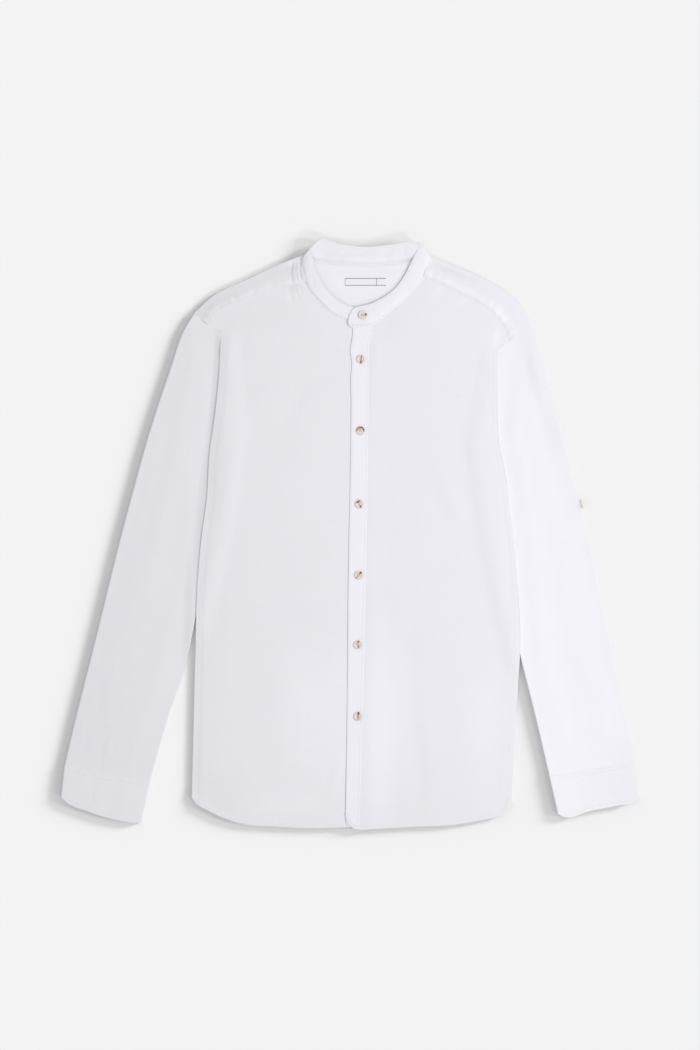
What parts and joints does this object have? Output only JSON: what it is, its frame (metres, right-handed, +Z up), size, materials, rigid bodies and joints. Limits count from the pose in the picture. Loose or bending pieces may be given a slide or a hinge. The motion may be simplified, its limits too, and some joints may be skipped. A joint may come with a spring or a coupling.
{
  "type": "mandarin collar shirt",
  "caption": "White long-sleeve shirt with a mandarin band collar and a buttoned placket, laid flat with its front up.",
  "frame": {"origin": "centre of the laid-out shirt's outline, on the surface it lies on", "axes": "+X to the wearer's left, +Y to the collar, +Z up out of the surface, towards the viewer"},
  "size_m": [0.7665, 0.7845, 0.0115],
  "materials": {
    "white_cloth": "white slubbed cotton and linen plain weave, matt",
    "button_resin": "pearly beige resin with brown marbling",
    "label_weave": "woven satin label, bare"
  },
  "bodies": {
    "root": {"back": "white_cloth", "yoke": "white_cloth", "front_left": "white_cloth", "front_right": "white_cloth", "placket": "white_cloth", "collar_band": "white_cloth", "sleeve_left": "white_cloth", "sleeve_right": "white_cloth", "cuff_left": "white_cloth", "cuff_right": "white_cloth", "button_1": "button_resin", "button_2": "button_resin", "button_3": "button_resin", "button_4": "button_resin", "button_5": "button_resin", "button_6": "button_resin", "button_7": "button_resin", "tab_button": "button_resin", "neck_label": "label_weave"}
  },
  "joints": []
}
